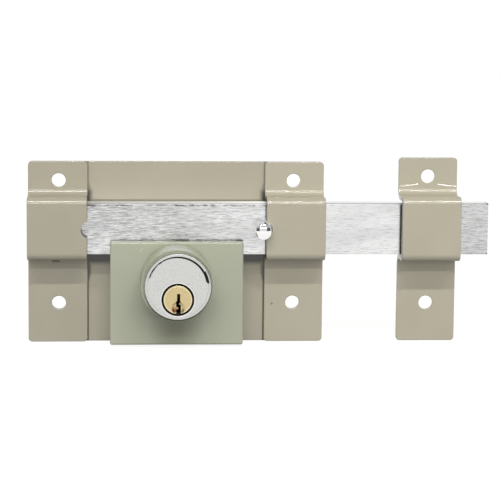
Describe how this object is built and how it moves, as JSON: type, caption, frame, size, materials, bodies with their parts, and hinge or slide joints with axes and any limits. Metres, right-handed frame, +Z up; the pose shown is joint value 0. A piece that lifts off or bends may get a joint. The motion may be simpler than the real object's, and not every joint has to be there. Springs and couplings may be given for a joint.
{
  "type": "double cylinder rim lock",
  "caption": "Surface-mounted door lock: a flat bar slides by hand through bent guide brackets and a separate strike, and a key cylinder on each side of the door locks it.",
  "frame": {"origin": "centre of the four screw holes, on the back face of the base plate", "axes": "+X along the bar, the way it is thrown; +Y through the door, away from the room; +Z up"},
  "size_m": [0.2048, 0.0781, 0.0832],
  "materials": {
    "bracket_paint": "beige stoving paint, fine orange peel",
    "cover_paint": "sage green stoving paint, semi gloss",
    "bar_steel": "zinc plated, ground along its length",
    "chrome_plate": "satin chrome plate",
    "plug_brass": "turned brass",
    "zinc_steel": "zinc plated steel",
    "spring_steel": "bright spring steel"
  },
  "bodies": {
    "case": {"base_plate": "bracket_paint", "left_guide_bracket": "bracket_paint", "right_guide_bracket": "bracket_paint", "strike_bracket": "bracket_paint", "lock_cover": "cover_paint", "cylinder_collar": "cover_paint", "inner_cylinder_body": "chrome_plate", "outer_cylinder_body": "chrome_plate", "outer_cylinder_rose": "chrome_plate", "inner_driver_pins": "plug_brass", "outer_driver_pins": "plug_brass", "inner_spring_cover": "plug_brass", "outer_spring_cover": "plug_brass", "cover_screws": "zinc_steel", "inner_cylinder_screws": "zinc_steel", "outer_cylinder_screws": "zinc_steel", "guide_rivets": "zinc_steel", "dog_rail_left": "zinc_steel", "dog_rail_right": "zinc_steel", "inner_pin_springs": "spring_steel", "outer_pin_springs": "spring_steel", "dog_brake_spring": "spring_steel"},
    "bolt": {"bolt_bar": "bar_steel", "bolt_knob": "chrome_plate"},
    "dog": {"locking_dog": "zinc_steel"},
    "cam": {"cam_hub": "zinc_steel"},
    "inner_key_plug": {"inner_plug": "plug_brass", "inner_key_pins": "plug_brass", "inner_plug_clip": "spring_steel", "inner_tailpiece": "zinc_steel"},
    "outer_key_plug": {"outer_plug": "plug_brass", "outer_key_pins": "plug_brass", "outer_plug_clip": "spring_steel", "outer_tailpiece": "zinc_steel"}
  },
  "joints": [
    {"name": "bolt_slide", "type": "slide", "parent": "case", "child": "bolt", "axis": [1, 0, 0], "range_m": [-0.0761, 0]},
    {"name": "inner_key_turn", "type": "hinge", "parent": "case", "child": "inner_key_plug", "pos_m": [0, 0, -0.0209], "axis": [0, 1, 0], "range_deg": [0, 90]},
    {"name": "cam_turn", "type": "hinge", "parent": "case", "child": "cam", "pos_m": [0, 0, -0.0209], "axis": [0, 1, 0], "range_deg": [0, 90]},
    {"name": "dog_slide", "type": "slide", "parent": "case", "child": "dog", "axis": [0, 0, 1], "range_m": [0, 0.0042]},
    {"name": "outer_key_turn", "type": "hinge", "parent": "case", "child": "outer_key_plug", "pos_m": [0, 0, -0.0209], "axis": [0, 1, 0], "range_deg": [-40, 130]}
  ],
  "couplings": [
    {"joint": "cam_turn", "follows": "inner_key_turn", "ratio": 1},
    {"joint": "dog_slide", "follows": "inner_key_turn", "m_per_rad": 0.002673}
  ]
}
